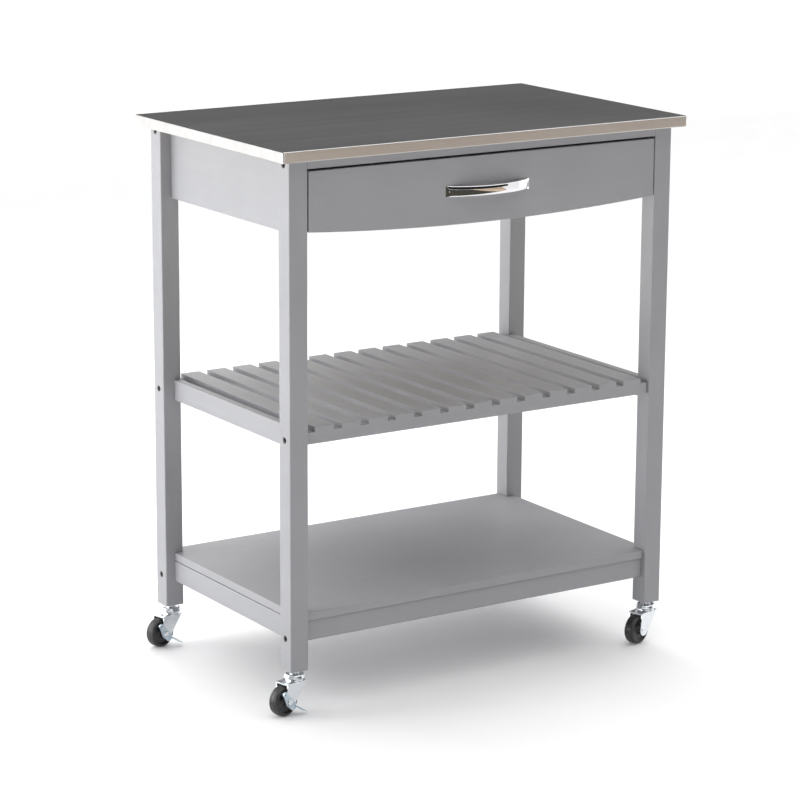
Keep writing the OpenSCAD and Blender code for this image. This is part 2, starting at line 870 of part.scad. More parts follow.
worktop_skin();
worktop_core();
leg_front_left();
leg_front_right();
leg_back_left();
leg_back_right();
side_apron_left();
side_apron_right();
back_apron();
front_top_rail();
worktop_cleats();
slide_channel_left();
slide_channel_right();
slide_runner_left();
slide_runner_right();
roller_front_left();
roller_front_right();
roller_rear_left();
roller_rear_right();
drawer_front();
drawer_side_left();
drawer_side_right();
drawer_back();
drawer_bottom();
drawer_handle();
drawer_screws();
mid_rail_left();
mid_rail_right();
mid_rail_front();
mid_rail_back();
mid_slats();
low_rail_left();
low_rail_right();
low_rail_front();
low_rail_back();
low_board();
frame_screws();
frame_bolts();
barrel_nuts();
frame_dowels();
caster_stems();
caster_balls();
caster_cap_front_left();
caster_cap_front_right();
caster_cap_back_left();
caster_cap_back_right();
caster_fork_front_left();
caster_fork_front_right();
caster_fork_back_left();
caster_fork_back_right();
caster_axle_front_left();
caster_axle_front_right();
caster_axle_back_left();
caster_axle_back_right();
caster_wheel_front_left();
caster_wheel_front_right();
caster_wheel_back_left();
caster_wheel_back_right();
brake_lever_front_left();
brake_lever_back_left();
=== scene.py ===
"""Looks of the rolling kitchen cart: pieces, materials, floor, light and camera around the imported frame."""

import json
import math

import bmesh
import bpy
from mathutils import Matrix, Vector


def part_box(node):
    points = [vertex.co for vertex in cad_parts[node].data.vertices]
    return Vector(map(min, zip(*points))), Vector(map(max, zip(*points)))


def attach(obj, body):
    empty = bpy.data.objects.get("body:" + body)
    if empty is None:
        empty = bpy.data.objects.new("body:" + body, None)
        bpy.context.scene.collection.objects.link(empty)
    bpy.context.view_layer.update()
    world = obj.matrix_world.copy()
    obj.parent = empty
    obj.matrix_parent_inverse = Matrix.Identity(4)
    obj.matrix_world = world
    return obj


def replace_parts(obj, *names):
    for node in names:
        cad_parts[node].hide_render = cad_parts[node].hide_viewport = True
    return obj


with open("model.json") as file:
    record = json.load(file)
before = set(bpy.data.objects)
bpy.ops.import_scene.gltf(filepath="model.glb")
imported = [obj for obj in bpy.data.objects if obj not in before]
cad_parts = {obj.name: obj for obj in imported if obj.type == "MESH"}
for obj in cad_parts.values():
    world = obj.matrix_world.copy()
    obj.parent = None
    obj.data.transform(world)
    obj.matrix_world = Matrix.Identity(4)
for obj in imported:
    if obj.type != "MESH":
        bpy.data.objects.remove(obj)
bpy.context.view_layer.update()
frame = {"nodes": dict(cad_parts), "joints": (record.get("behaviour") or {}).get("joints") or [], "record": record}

MM = 0.001
X, Y, Z = 0, 1, 2
RECORD = frame["record"]
SLOT_OF = {part["node"]: part["material_slot"] for part in RECORD["subparts"]}
BODY_OF = {node: body for body, nodes in RECORD["behaviour"]["bodies"].items() for node in nodes}
JOINTS = {joint["name"]: joint for joint in frame["joints"]}
CORNERS = ("front_left", "front_right", "back_left", "back_right")
BRAKED = ("front_left", "back_left")


# --- Materials ---------------------------------------------------------------------------------


class Surface:
    """One procedural material: a Principled shader fed from object coordinates in metres."""

    def __init__(self, name, metallic=0.0, **constants):
        self.material = bpy.data.materials.new(name)
        self.material.use_nodes = True
        tree = self.material.node_tree
        self.nodes, self.links = tree.nodes, tree.links
        self.shader = self.nodes["Principled BSDF"]
        self.shader.inputs["Metallic"].default_value = metallic
        for key, value in constants.items():
            self.shader.inputs[key.replace("_", " ")].default_value = value
        self.coordinates = self.nodes.new("ShaderNodeTexCoord").outputs["Object"]
        self.normal = None

    def stretched(self, scale):
        """Object coordinates, with its own scale along X, Y and Z."""
        mapping = self.nodes.new("ShaderNodeMapping")
        mapping.inputs["Scale"].default_value = scale
        self.links.new(self.coordinates, mapping.inputs["Vector"])
        return mapping.outputs["Vector"]

    def noise(self, scale, detail=3.0, roughness=0.5, distortion=0.0):
        """Noise with a scale per metre, the same in all directions or one for each axis."""
        if isinstance(scale, (int, float)):
            scale = (scale, scale, scale)
        node = self.nodes.new("ShaderNodeTexNoise")
        node.inputs["Scale"].default_value = 1.0
        node.inputs["Detail"].default_value = detail
        node.inputs["Roughness"].default_value = roughness
        node.inputs["Distortion"].default_value = distortion
        self.links.new(self.stretched(scale), node.inputs["Vector"])
        return node.outputs["Fac"]

    def remap(self, value, low, high, start=0.3, end=0.7):
        """A value running from start to end, turned into one running from low to high."""
        node = self.nodes.new("ShaderNodeMapRange")
        for key, number in (("From Min", start), ("From Max", end), ("To Min", low), ("To Max", high)):
            node.inputs[key].default_value = number
        self.links.new(value, node.inputs["Value"])
        return node.outputs["Result"]

    def ramp(self, value, stops):
        """Colours along a value: stops are (place, colour)."""
        node = self.nodes.new("ShaderNodeValToRGB")
        elements = node.color_ramp.elements
        while len(elements) < len(stops):
            elements.new(0.5)
        for element, (place, colour) in zip(elements, stops):
            element.position = place
            element.color = (*colour, 1.0)
        self.links.new(value, node.inputs["Fac"])
        return node.outputs["Color"]

    def toned(self, strength, colour, tone):
        """A colour multiplied by a tone, as strongly as asked."""
        node = self.nodes.new("ShaderNodeMix")
        node.data_type = "RGBA"
        node.blend_type = "MULTIPLY"
        node.inputs["Factor"].default_value = strength
        self.links.new(colour, node.inputs["A"])
        self.links.new(tone, node.inputs["B"])
        return node.outputs["Result"]

    def colour(self, socket):
        self.links.new(socket, self.shader.inputs["Base Color"])

    def rough(self, socket):
        self.links.new(socket, self.shader.inputs["Roughness"])

    def bump(self, height, depth):
        """Adds relief of that depth in metres on top of what is there."""
        node = self.nodes.new("ShaderNodeBump")
        node.inputs["Strength"].default_value = 1.0
        node.inputs["Distance"].default_value = depth
        self.links.new(height, node.inputs["Height"])
        if self.normal is not None:
            self.links.new(self.normal, node.inputs["Normal"])
        self.normal = node.outputs["Normal"]
        self.links.new(self.normal, self.shader.inputs["Normal"])


def scaled(colour, factor):
    return tuple(channel * factor for channel in colour)


def along(axis, lengthwise, across):
    """Noise scale of a grain that runs along one axis."""
    scale = [across, across, across]
    scale[axis] = lengthwise
    return tuple(scale)


PAINT = (0.322, 0.323, 0.339)


def painted_wood(axis):
    """Satin grey lacquer over pine: fine orange peel, and a hint of the grain underneath."""
    s = Surface(f"painted_wood_{'xyz'[axis]}", Specular_IOR_Level=0.5)
    cloud = s.ramp(s.noise(7.0, 2.0), [(0.3, scaled(PAINT, 0.96)), (0.7, scaled(PAINT, 1.03))])
    grain = s.noise(along(axis, 5.0, 210.0), 5.0, 0.6, 0.4)
    streaks = s.ramp(grain, [(0.32, (0.965, 0.965, 0.97)), (0.62, (1.0, 1.0, 1.0))])
    s.colour(s.toned(0.8, cloud, streaks))
    s.rough(s.remap(s.noise(60.0, 4.0), 0.41, 0.46))
    s.bump(s.noise(900.0, 2.0), 0.035 * MM)
    s.bump(grain, 0.05 * MM)
    return s.material


def bare_wood(name, axis, dark, light):
    """Unfinished wood with grain lines along one axis and darker pores."""
    s = Surface(name)
    rings = s.noise(along(axis, 2.2, 60.0), 6.0, 0.55, 0.8)
    body = s.ramp(rings, [(0.30, dark), (0.48, scaled(light, 0.9)), (0.70, light)])
    pores = s.noise(along(axis, 18.0, 900.0), 3.0)
    pore_tone = s.ramp(pores, [(0.35, (0.78, 0.72, 0.66)), (0.5, (1.0, 1.0, 1.0))])
    s.colour(s.toned(0.7, body, pore_tone))
    s.rough(s.remap(rings, 0.62, 0.8))
    s.bump(pores, 0.08 * MM)
    return s.material


def fibreboard():
    """Raw fibreboard, matt and speckled with fibres."""
    s = Surface("fibreboard")
    fibres = s.noise(700.0, 5.0, 0.7)
    s.colour(s.ramp(fibres, [(0.3, (0.36, 0.25, 0.15)), (0.7, (0.55, 0.41, 0.26))]))
    s.rough(s.remap(fibres, 0.75, 0.9))
    s.bump(fibres, 0.15 * MM)
    return s.material


def brushed_steel(colour):
    """Steel sheet brushed along its width: long fine scratches in tone and relief, broad cloudy gloss."""
    s = Surface("steel_top", metallic=1.0)
    scratches = s.noise(along(X, 9.0, 2600.0), 4.0, 0.65)
    bands = s.noise(along(X, 0.7, 46.0), 3.0)
    clouds = s.noise((3.0, 5.0, 5.0), 2.0)
    fine = s.ramp(scratches, [(0.3, scaled(colour, 0.86)), (0.7, scaled(colour, 1.14))])
    broad = s.ramp(bands, [(0.3, (0.86, 0.86, 0.87)), (0.7, (1.0, 1.0, 1.0))])
    s.colour(s.toned(0.9, fine, broad))
    s.rough(s.remap(clouds, 0.30, 0.38))
    s.bump(scratches, 0.012 * MM)
    return s.material


def zinc(name, colour, smoothest, roughest):
    """Zinc plate: cool, with faint mottling and fine handling marks."""
    s = Surface(name, metallic=1.0)
    mottle = s.noise(420.0, 4.0, 0.6)
    s.colour(s.ramp(mottle, [(0.3, scaled(colour, 0.88)), (0.7, colour)]))
    s.rough(s.remap(s.noise(160.0, 5.0), smoothest, roughest))
    s.bump(s.noise(1500.0, 2.0), 0.006 * MM)
    return s.material


def chrome():
    """Polished chrome plate with the faintest waves."""
    s = Surface("chrome_handle", metallic=1.0)
    haze = s.noise(240.0, 4.0)
    s.colour(s.ramp(haze, [(0.2, (0.80, 0.80, 0.81)), (0.8, (0.88, 0.88, 0.89))]))
    s.rough(s.remap(haze, 0.03, 0.07))
    s.bump(s.noise(130.0, 1.0), 0.02 * MM)
    return s.material


def black_oxide():
    """Blackened bolt steel with a trace of dust."""
    s = Surface("black_bolt", metallic=0.6)
    grime = s.noise(900.0, 4.0)
    s.colour(s.ramp(grime, [(0.3, (0.030, 0.026, 0.022)), (0.7, (0.085, 0.070, 0.058))]))
    s.rough(s.remap(grime, 0.35, 0.5))
    return s.material


def wheel_plastic():
    """Moulded black wheel: a dull sheen, scuffed a little lighter here and there."""
    s = Surface("wheel_black", Specular_IOR_Level=0.55)
    scuffs = s.noise(260.0, 5.0, 0.65)
    s.colour(s.ramp(scuffs, [(0.35, (0.010, 0.010, 0.011)), (0.75, (0.030, 0.028, 0.029))]))
    s.rough(s.remap(s.noise(500.0, 3.0), 0.30, 0.46))
    s.bump(s.noise(1800.0, 2.0), 0.015 * MM)
    return s.material


def powder_coat():
    """White epoxy powder with a fine orange peel."""
    s = Surface("slide_steel")
    peel = s.noise(1100.0, 2.0)
    s.colour(s.ramp(peel, [(0.3, (0.74, 0.74, 0.71)), (0.7, (0.80, 0.80, 0.78))]))
    s.rough(s.remap(peel, 0.32, 0.44))
    s.bump(peel, 0.03 * MM)
    return s.material


def nylon():
    """Milky natural nylon."""
    s = Surface("nylon", Subsurface_Weight=0.2, Subsurface_Scale=0.002)
    milky = s.noise(300.0, 3.0)
    s.colour(s.ramp(milky, [(0.3, (0.72, 0.72, 0.68)), (0.7, (0.80, 0.80, 0.77))]))
    s.rough(s.remap(milky, 0.38, 0.5))
    return s.material


STEEL = (0.62, 0.61, 0.595)
PAINTED = [painted_wood(axis) for axis in (X, Y, Z)]
PINE = bare_wood("bare_wood", Y, (0.50, 0.32, 0.16), (0.70, 0.51, 0.30))
PLYWOOD = [
    bare_wood(f"drawer_box_{'xy'[axis]}", axis, (0.50, 0.38, 0.24), (0.66, 0.55, 0.39)) for axis in (X, Y)
]
MATERIALS = {
    "steel_top": brushed_steel(STEEL),
    "fibreboard": fibreboard(),
    "bare_wood": PINE,
    "slide_steel": powder_coat(),
    "nylon": nylon(),
    "chrome_handle": chrome(),
    "black_bolt": black_oxide(),
    "wheel_black": wheel_plastic(),
    "zinc_plate": zinc("zinc_plate", (0.82, 0.85, 0.88), 0.16, 0.28),
    "brake_lever": zinc("brake_lever", (0.60, 0.69, 0.76), 0.30, 0.42),
    "screw_steel": zinc("screw_steel", (0.70, 0.70, 0.70), 0.25, 0.4),
}


def grain_axis(node):
    """Boards have their grain along their longest side; the slats share one node and run along Y."""
    if node == "mid_slats":
        return Y
    low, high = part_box(node)
    return max((X, Y, Z), key=lambda axis: high[axis] - low[axis])


def material_of(node):
    slot = SLOT_OF[node]
    if slot == "painted_wood":
        return PAINTED[grain_axis(node)]
    if slot == "drawer_box":
        return PLYWOOD[min(grain_axis(node), Y)]
    if node.startswith("brake_lever"):
        return MATERIALS["brake_lever"]
    return MATERIALS[slot]


# --- Piece building ----------------------------------------------------------------------------


def finish_piece(work, name, node, smooth_angle=32.0):
    """Turns a bmesh into a shaded piece that stands for a CAD node and rides on its body."""
    bmesh.ops.recalc_face_normals(work, faces=work.faces)
    mesh = bpy.data.meshes.new(name)
    work.to_mesh(mesh)
    work.free()
    mesh.shade_smooth()
    mesh.set_sharp_from_angle(angle=math.radians(smooth_angle))
    mesh.materials.append(material_of(node))
    piece = bpy.data.objects.new(name, mesh)
    bpy.context.scene.collection.objects.link(piece)
    weighted = piece.modifiers.new("weighted", "WEIGHTED_NORMAL")
    weighted.keep_sharp = True
    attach(piece, BODY_OF[node])
    return piece


def eased(node, width, steps=3, shortest=3 * MM, sharper_than=35.0, seam=None, lift=0.0):
    """A CAD node's own shape with its long edges rounded off, except at the height of a flush seam.

    A lift raises its underside a hair, which leaves the dark joint that the photo shows there.
    """
    work = bmesh.new()
    work.from_mesh(frame["nodes"][node].data)
    bmesh.ops.remove_doubles(work, verts=work.verts, dist=0.002 * MM)
    bmesh.ops.dissolve_limit(work, angle_limit=math.radians(0.1), verts=work.verts, edges=work.edges)
    underside = min(vert.co.z for vert in work.verts)
    for vert in work.verts:
        if vert.co.z < underside + 0.05 * MM:
            vert.co.z += lift

    def at_seam(edge):
        return seam is not None and all(abs(vert.co.z - seam) < 0.05 * MM for vert in edge.verts)

    edges = [
        edge for edge in work.edges
        if len(edge.link_faces) == 2
        and edge.calc_length() > shortest
        and edge.calc_face_angle() > math.radians(sharper_than)
        and not at_seam(edge)
    ]
    bmesh.ops.bevel(
        work, geom=edges, offset=width, segments=steps, profile=0.5, affect="EDGES", clamp_overlap=True
    )
    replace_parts(finish_piece(work, f"{node}_finished", node), node)


def fillet(centre, radius, start, end, steps=5):
    """Points along an arc from one angle to another, in degrees."""
    angles = [math.radians(start + (end - start) * k / steps) for k in range(steps + 1)]
    return [(centre[0] + radius * math.cos(a), centre[1] + radius * math.sin(a)) for a in angles]


def loft(rings, closed=False):
    """A skin over rings of equally many points: capped at both ends, or closed into a loop."""
    work = bmesh.new()
    made = [[work.verts.new(point) for point in ring] for ring in rings]
    pairs = list(zip(made, made[1:]))
    if closed:
        pairs.append((made[-1], made[0]))
    else:
        work.faces.new(made[0])
        work.faces.new(reversed(made[-1]))
    for ring, following in pairs:
        for k in range(len(ring)):
            n = (k + 1) % len(ring)
            work.faces.new((ring[k], ring[n], following[n], following[k]))
    return work


def lathe(profile, place, steps):
    """A closed (radius, height) profile turned about the local Z axis, then put in its place."""
    rings = []
    for k in range(steps):
        angle = 2 * math.pi * k / steps
        rings.append([place @ Vector((r * math.cos(angle), r * math.sin(angle), z)) for r, z in profile])
    return loft(rings, closed=True)


# --- Worktop -----------------------------------------------------------------------------------

CORNER_R = 4 * MM
CORNER_STEPS = 8
TOP_EDGE_R = 1.8 * MM
SHEET = 1.0 * MM
LIP = 13 * MM          # how far the sheet turns in underneath
FOLD_LENGTH = 14 * MM
FOLD_T = 0.25 * MM     # how far a fold stands out from the rim


def slab_ring(low, high, inset, z):
    """A ring round the worktop at a height, that far in from its edge."""
    radius = max(CORNER_R - inset, 0.4 * MM)
    centre = (low + high) / 2
    half = (high - low) / 2
    ring = []
    for quarter, (side_x, side_y) in enumerate(((1, 1), (-1, 1), (-1, -1), (1, -1))):
        cx = centre.x + side_x * (half.x - inset - radius)
        cy = centre.y + side_y * (half.y - inset - radius)
        for px, py in fillet((cx, cy), radius, 90 * quarter, 90 * quarter + 90, CORNER_STEPS):
            ring.append((px, py, z))
    return ring


def worktop():
    """The folded steel sheet: rounded rims, corner radii and the lip that turns in underneath."""
    low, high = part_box("worktop_skin")
    r = TOP_EDGE_R
    outside = fillet((r, high.z - r), r, 90, 180) + fillet((r, low.z + r), r, 180, 270)
    inside = [(LIP, low.z), (LIP, low.z + SHEET), (SHEET, low.z + SHEET), (SHEET, high.z - SHEET)]
    rings = [slab_ring(low, high, inset, z) for inset, z in outside + inside]
    piece = finish_piece(loft(rings), "worktop_sheet", "worktop_skin")
    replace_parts(piece, "worktop_skin")
    for side, edge, inward in (("left", low.x, 1), ("right", high.x, -1)):
        corner_fold(side, edge, inward)


def corner_fold(side, edge, inward):
    """The end of a side rim, folded round the corner and pressed flat on the front rim."""
    low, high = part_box("worktop_skin")
    start = edge + inward * 0.8 * CORNER_R
    end = start + inward * FOLD_LENGTH
    bottom, top = low.z + 0.6 * MM, high.z - TOP_EDGE_R
    back, front = low.y + 0.5 * MM, low.y - FOLD_T
    corners = [(x, y, z) for x in (start, end) for y in (back, front) for z in (bottom, top)]
    work = bmesh.new()
    bmesh.ops.convex_hull(work, input=[work.verts.new(point) for point in corners])
    bmesh.ops.bevel(work, geom=work.edges[:], offset=0.12 * MM, segments=2, profile=0.5, affect="EDGES")
    finish_piece(work, f"corner_fold_{side}", "worktop_skin", 60.0)


# --- Handle ------------------------------------------------------------------------------------


def arc_height(chord, rise, x):
    """Height above its chord of an arc with that rise, at x from the middle."""
    radius = (chord * chord / 4 + rise * rise) / (2 * rise)
    return math.sqrt(max(radius * radius - x * x, 0.0)) - (radius - rise)


def handle():
    """A chrome bow, wide at its feet and slimmer in the middle, with soft rims and a crowned face."""
    low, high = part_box("drawer_handle")
    length, depth, height = high - low
    centre = (low + high) / 2
    slim, rim, foot, bar, crown = 15.5 * MM, 1.4 * MM, 13 * MM, 4.5 * MM, 0.6 * MM
    stations, corner_steps, crown_steps = 72, 4, 8
    inner = length - 2 * foot
    rings = []
    for k in range(stations + 1):
        x = length * 0.4995 * -math.cos(math.pi * k / stations)
        front = max(arc_height(length, depth, x), 0.25 * MM)
        back = max(arc_height(inner, depth - bar, x), 0.0) if abs(x) < inner / 2 else 0.0
        share = abs(2 * x / length)
        half = (slim + (height - slim) * share ** 2) / 2
        bulge = min(crown, (front - back) * 0.2)
        face = front - bulge
        r = min(rim, (face - back) * 0.45)
        outline = []
        for quarter, (v, z) in enumerate((
            (face - r, half - r), (back + r, half - r), (back + r, -half + r), (face - r, -half + r)
        )):
            outline += fillet((v, z), r, 90 * quarter, 90 * quarter + 90, corner_steps)
        for n in range(1, crown_steps):
            t = 2 * n / crown_steps - 1
            outline.append((face + bulge * (1 - t * t), t * (half - r)))
        rings.append([(centre.x + x, high.y - v, centre.z + z) for v, z in outline])
    piece = finish_piece(loft(rings), "drawer_handle_chrome", "drawer_handle", 40.0)
    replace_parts(piece, "drawer_handle")


# --- Casters -----------------------------------------------------------------------------------


def axle_point(corner):
    """The middle of a caster's axle."""
    return Vector(JOINTS[f"spin_{corner}"]["pos_m"])


def trailing(corner):
    """From a caster's swivel axis to its axle, seen from above."""
    return (axle_point(corner) - Vector(JOINTS[f"swivel_{corner}"]["pos_m"])).xy


def swivel_place(corner):
    """A caster's own frame: swivel axis at x = y = 0, floor at z = 0, wheel towards -X."""
    swivel = Vector(JOINTS[f"swivel_{corner}"]["pos_m"])
    back = trailing(corner)
    angle = math.atan2(-back.y, -back.x)
    return Matrix.Translation((swivel.x, swivel.y, 0.0)) @ Matrix.Rotation(angle, 4, "Z")


def hub_place(corner):
    """The wheel's own frame: the axle is its Z axis."""
    to_axle = Matrix.Translation((-trailing(corner).length, 0.0, axle_point(corner).z))
    return swivel_place(corner) @ to_axle @ Matrix.Rotation(math.radians(-90), 4, "X")


def turned(node, suffix, profile, place, steps, smooth_angle):
    """Puts a piece turned from a (radius, height) profile in millimetres in a CAD node's place."""
    work = lathe([(radial * MM, axial * MM) for radial, axial in profile], place, steps)
    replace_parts(finish_piece(work, f"{node}_{suffix}", node, smooth_angle), node)


def wheel(corner):
    """A moulded wheel: grooved crowned tread, raised rim ring, dished web and hub."""
    r = axle_point(corner).z / MM
    tread = [
        (r, 0.0), (r, 2.3), (r - 0.1, 2.55), (r - 0.55, 2.75), (r - 0.55, 3.25), (r - 0.12, 3.45),
        (r - 0.1, 3.7), (r - 0.15, 4.9), (r - 0.5, 6.2), (r - 1.15, 7.5), (r - 1.9, 8.3), (r - 2.8, 8.75),
    ]
    side = [
        (r - 3.6, 8.95), (r - 4.4, 8.95), (r - 5.2, 8.8), (r - 5.6, 8.4), (r - 6.0, 7.2), (r - 6.6, 6.2),
        (r - 7.4, 5.6), (r - 8.4, 5.3), (11.6, 5.5), (9.6, 5.9), (8.6, 6.5), (7.9, 7.6), (7.4, 9.8),
        (7.0, 10.6), (6.5, 10.9), (3.05, 10.9),
    ]
    half = tread + side
    profile = half + [(radial, -axial) for radial, axial in reversed(half[1:])]
    turned(f"caster_wheel_{corner}", "moulded", profile, hub_place(corner), 128, 45.0)


def cap(corner):
    """The domed cap over the balls, turned with a rolled rim."""
    node = f"caster_cap_{corner}"
    low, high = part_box(node)
    top = high.z / MM
    rim = low.z / MM
    outer = (high.x - low.x) / 2 / MM
    bore = 5.05
    profile = [(bore, top), (outer - 4.9, top)]
    profile += fillet((outer - 4.9, top - 3.4), 3.4, 88, 22, 5)
    profile += [(outer - 0.9, rim + 3.3)]
    profile += fillet((outer - 0.8, rim + 1.5), 0.8, 40, -60, 5)
    profile += [(outer - 0.9, rim + 0.2), (outer - 1.6, rim + 0.6)]
    profile += [(outer - 1.8, rim + 2.4), (outer - 4.4, top - 1.8), (bore, top - 1.8)]
    turned(node, "turned", profile, swivel_place(corner), 96, 40.0)


def axle(corner):
    """A riveted axle with domed, dimpled heads."""
    near_face, shaft, head = 13.5, 3.0, 4.5
    far_face = 16.2 if corner in BRAKED else near_face

    def end(face, sign):
        rim = [(shaft, face), (head, face), (head - 0.2, face + 0.7), (head - 1.0, face + 1.25)]
        dimple = [(head - 1.9, face + 1.35), (1.5, face + 0.9), (0.01, face + 0.7)]
        return [(radial, sign * axial) for radial, axial in rim + dimple]

    profile = end(near_face, 1) + list(reversed(end(far_face, -1)))
    turned(f"caster_axle_{corner}", "riveted", profile, hub_place(corner), 48, 50.0)


# --- All pieces --------------------------------------------------------------------------------

WOOD_EDGE = 1.0 * MM
METAL_EDGE = 0.35 * MM
BOARD_JOINT = 1.0 * MM
KEPT_AS_CAD = (
    "frame_dowels", "barrel_nuts", "caster_balls", "frame_screws", "worktop_core", "worktop_cleats",
)


def build_pieces():
    """Every piece that shows, made or eased, and the material of every hidden one."""
    worktop()
    handle()
    for corner in CORNERS:
        wheel(corner)
        cap(corner)
        axle(corner)
        eased(f"caster_fork_{corner}", 0.7 * MM, shortest=1.5 * MM, sharper_than=40.0)
    for corner in BRAKED:
        eased(f"brake_lever_{corner}", 0.4 * MM, 2, shortest=0.2 * MM, sharper_than=50.0)
    slat_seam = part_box("mid_rail_front")[1].z
    for node in SLOT_OF:
        slot = SLOT_OF[node]
        if node in ("mid_slats", "mid_rail_front", "mid_rail_back"):
            eased(node, 0.6 * MM, seam=slat_seam)
        elif node == "low_board":
            eased(node, WOOD_EDGE, lift=BOARD_JOINT)
        elif slot == "painted_wood" and not node.startswith("leg_"):
            eased(node, WOOD_EDGE)
        elif node.startswith("leg_"):
            eased(node, 0.5 * MM, 2, shortest=400 * MM, sharper_than=60.0)
        elif slot == "drawer_box":
            eased(node, 0.8 * MM, 2)
        elif slot == "slide_steel":
            eased(node, METAL_EDGE, 2)
        elif slot == "nylon":
            eased(node, 0.5 * MM, shortest=0.1 * MM, sharper_than=60.0)
        elif node in ("frame_bolts", "drawer_screws", "caster_stems"):
            eased(node, METAL_EDGE, 2, shortest=0.1 * MM, sharper_than=60.0)
    for node in KEPT_AS_CAD:  # hidden inside the cart, so their own shape will do
        piece = frame["nodes"][node]
        piece.data.materials.clear()
        piece.data.materials.append(material_of(node))


# --- Stage, light and camera -------------------------------------------------------------------


FLOOR_SIZE = 45.0
FLOOR_GLOW = 0.095
BACKDROP_GLOW = 0.9
WORLD_LIGHT = 0.02


def stage_piece(name, work, material):
    """Makes an object with one material from a bmesh and links it to the scene, without attaching it to any body
    of the cart.
    """
    mesh = bpy.data.meshes.new(name)
    work.to_mesh(mesh)
    work.free()
    mesh.materials.append(material)
    piece = bpy.data.objects.new(name, mesh)
    bpy.context.scene.collection.objects.link(piece)
    return piece


def stage_floor():
    """A pale floor, large enough to fill every view, that glows a little so that shadows stay open."""
    work = bmesh.new()
    bmesh.ops.create_grid(work, x_segments=8, y_segments=8, size=FLOOR_SIZE)
    s = Surface("pale_floor")
    s.colour(s.ramp(s.noise(2.0, 2.0), [(0.3, (0.84, 0.84, 0.845)), (0.7, (0.86, 0.86, 0.865))]))
    s.rough(s.remap(s.noise(9.0, 3.0), 0.6, 0.75))
    s.shader.inputs["Emission Color"].default_value = (1.0, 1.0, 1.0, 1.0)
    s.shader.inputs["Emission Strength"].default_value = FLOOR_GLOW
    stage_piece("floor", work, s.material)


def backdrop():
    """A pale wall right round the far floor, for low views: it lights nothing and shades nothing."""
    radius, low, high, sides = FLOOR_SIZE * 0.98, -1.0, 40.0, 64
    angles = [2 * math.pi * k / sides for k in range(sides + 1)]
    work = bmesh.new()
    foot = [work.verts.new((radius * math.cos(a), radius * math.sin(a), low)) for a in angles]
    head = [work.verts.new((radius * math.cos(a), radius * math.sin(a), high)) for a in angles]
    for k in range(sides):
        work.faces.new((foot[k], foot[k + 1], head[k + 1], head[k]))
    s = Surface("pale_backdrop")
    s.colour(s.ramp(s.noise(0.2, 2.0), [(0.3, (0.84, 0.84, 0.845)), (0.7, (0.86, 0.86, 0.865))]))
    s.shader.inputs["Emission Color"].default_value = (1.0, 1.0, 1.0, 1.0)
    s.shader.inputs["Emission Strength"].default_value = BACKDROP_GLOW
    wall = stage_piece("backdrop", work, s.material)
    wall.visible_diffuse = False
    wall.visible_glossy = False
    wall.visible_shadow = False


def softbox(name, place, target, size, power):
    """A rectangular lamp, in metres and watts, aimed at a target."""
    light = bpy.data.lights.new(name, "AREA")
    light.shape = "RECTANGLE"
    light.size, light.size_y = size
    light.energy = power
    lamp = bpy.data.objects.new(name, light)
    lamp.location = place
    lamp.rotation_euler = (Vector(target) - Vector(place)).to_track_quat("-Z", "Y").to_euler()
    lamp.visible_camera = False
    bpy.context.scene.collection.objects.link(lamp)


def overhead_sun(name, power, spread, direction):
    """A very broad lamp far above, its spread in degrees."""
    light = bpy.data.lights.new(name, "SUN")
    light.energy = power
    light.angle = math.radians(spread)
    lamp = bpy.data.objects.new(name, light)
    lamp.rotation_euler = Vector(direction).to_track_quat("-Z", "Y").to_euler()
    bpy.context.scene.collection.objects.link(lamp)


def card(name, corners, along_x, tones):
    """A glowing card seen only in polished metal, toned along X between two places."""
    work = bmesh.new()
    work.faces.new([work.verts.new(corner) for corner in corners])
    s = Surface(name)
    across = s.nodes.new("ShaderNodeSeparateXYZ")
    s.links.new(s.coordinates, across.inputs["Vector"])
    tone = s.ramp(s.remap(across.outputs["X"], 0.0, 1.0, *along_x), tones)
    glow = s.nodes.new("ShaderNodeEmission")
    s.links.new(tone, glow.inputs["Color"])
    s.links.new(glow.outputs["Emission"], s.nodes["Material Output"].inputs["Surface"])
    sheet = stage_piece(name, work, s.material)
    sheet.visible_camera = False
    sheet.visible_diffuse = False
    sheet.visible_shadow = False


def even_tone(level):
    """The two equal stops of a card that is white all over."""
    return [(0.0, (level, level, level)), (1.0, (level, level, level))]


def upright_card(name, start, end, low, high, along_x, tones):
    """A card that stands on the line between two places on the floor."""
    corners = [(*start, low), (*end, low), (*end, high), (*start, high)]
    card(name, corners, along_x, tones)


def reflected_cards():
    """What metal mirrors: a warm card before the cart, a dim one behind, white ones above and beside."""
    near, far, off_floor = -1.9, -28.0, 0.002
    corners = [(-4.0, near, off_floor), (2.3, near, off_floor), (26.0, far, off_floor),
               (-20.0, far, off_floor)]
    warm = [(0.0, (0.07, 0.066, 0.055)), (0.35, (0.86, 0.67, 0.52)), (1.0, (0.54, 0.40, 0.29))]
    card("card_front", corners, (1.2, 3.4), warm)
    dim = [(0.0, (0.19, 0.19, 0.20)), (1.0, (0.12, 0.12, 0.122))]
    upright_card("card_back", (-3.0, 5.0), (9.0, 5.0), 0.3, 6.0, (0.0, 5.0), dim)
    left, right, near, far, above = -1.2, 3.4, 0.4, -3.2, 2.6
    corners = [(left, near, above), (right, near, above), (right, far, above), (left, far, above)]
    card("card_above", corners, (left, right), even_tone(1.8))
    upright_card("card_left", (-3.2, 1.0), (-0.6, 3.4), 0.01, 2.4, (-3.2, -0.6), even_tone(1.7))
    upright_card("card_right", (2.9, -2.4), (3.0, 1.4), 0.01, 2.6, (2.9, 3.0), even_tone(1.0))


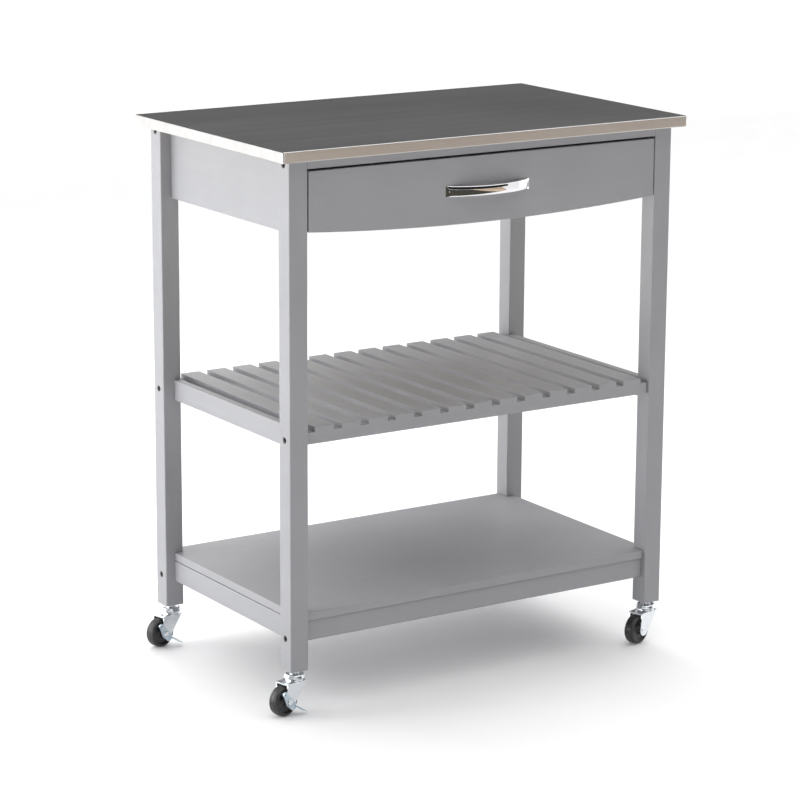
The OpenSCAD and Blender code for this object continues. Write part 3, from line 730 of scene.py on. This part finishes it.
# Name, place, target, size and power.
SOFTBOXES = (
    ("left_back", (-1.9, 1.2, 1.15), (0.0, 0.1, 0.55), (1.6, 1.8), 24.0),
    ("left_low", (-2.4, 0.2, 0.45), (0.0, 0.1, 0.35), (1.6, 0.8), 19.0),
    ("back", (0.0, 2.5, 0.9), (0.0, 0.0, 0.4), (2.4, 1.6), 19.0),
    ("right", (2.3, 0.0, 1.0), (0.0, 0.0, 0.4), (1.8, 1.8), 5.0),
    ("front_low", (-0.3, -3.0, 0.45), (0.0, 0.0, 0.3), (2.4, 0.8), 7.5),
)
# Lamps kept off a piece. A lamp holds one flag, so it stands in one row only.
FLAGS = (
    ("worktop_sheet", ("overhead", "overhead_back", "back", "left_back")),
    ("drawer_handle_chrome", ("front_low",)),
)


def studio_light():
    """Two broad overhead lights, and softboxes around the cart, the strongest at the left and behind."""
    world = bpy.data.worlds.new("studio")
    world.use_nodes = True
    world.node_tree.nodes["Background"].inputs["Color"].default_value = (0.95, 0.97, 1.0, 1.0)
    world.node_tree.nodes["Background"].inputs["Strength"].default_value = WORLD_LIGHT
    bpy.context.scene.world = world
    overhead_sun("overhead", 2.4, 110.0, (0.0, 0.0, -1.0))
    overhead_sun("overhead_back", 1.25, 60.0, (-0.4, -0.5, -1.0))
    for lamp in SOFTBOXES:
        softbox(*lamp)
    reflected_cards()
    bpy.context.scene.view_settings.view_transform = "Standard"


def flag_metal():
    """Flags keep lamps off the worktop's steel and the handle, which are darker in the photo."""
    for piece, lamps in FLAGS:
        shaded = bpy.data.collections.new(f"flag_{piece}")
        shaded.objects.link(bpy.data.objects[piece])
        shaded.collection_objects[0].light_linking.link_state = "EXCLUDE"
        for lamp in lamps:
            bpy.data.objects[lamp].light_linking.receiver_collection = shaded


CAMERA_PLACE = Vector((-2.6304, -4.0619, 1.5907))
CAMERA_YAW, CAMERA_PITCH, CAMERA_ROLL = 32.779, 13.549, 0.294
CAMERA_LENS = 133.96


def camera():
    """Looks right of +Y by the yaw and down by the pitch, leaning a little."""
    yaw, pitch, roll = (math.radians(a) for a in (CAMERA_YAW, CAMERA_PITCH, CAMERA_ROLL))
    ahead = Vector((math.sin(yaw) * math.cos(pitch), math.cos(yaw) * math.cos(pitch), -math.sin(pitch)))
    level = Vector((math.cos(yaw), -math.sin(yaw), 0.0))
    upright = level.cross(ahead)
    right = math.cos(roll) * level + math.sin(roll) * upright
    up = math.cos(roll) * upright - math.sin(roll) * level
    data = bpy.data.cameras.new("camera")
    data.sensor_width = 36.0
    data.lens = CAMERA_LENS
    data.clip_end = 200.0
    eye = bpy.data.objects.new("camera", data)
    eye.matrix_world = Matrix.Translation(CAMERA_PLACE) @ Matrix((right, up, -ahead)).transposed().to_4x4()
    bpy.context.scene.collection.objects.link(eye)
    bpy.context.scene.camera = eye


camera()
stage_floor()
backdrop()
studio_light()
build_pieces()
flag_metal()
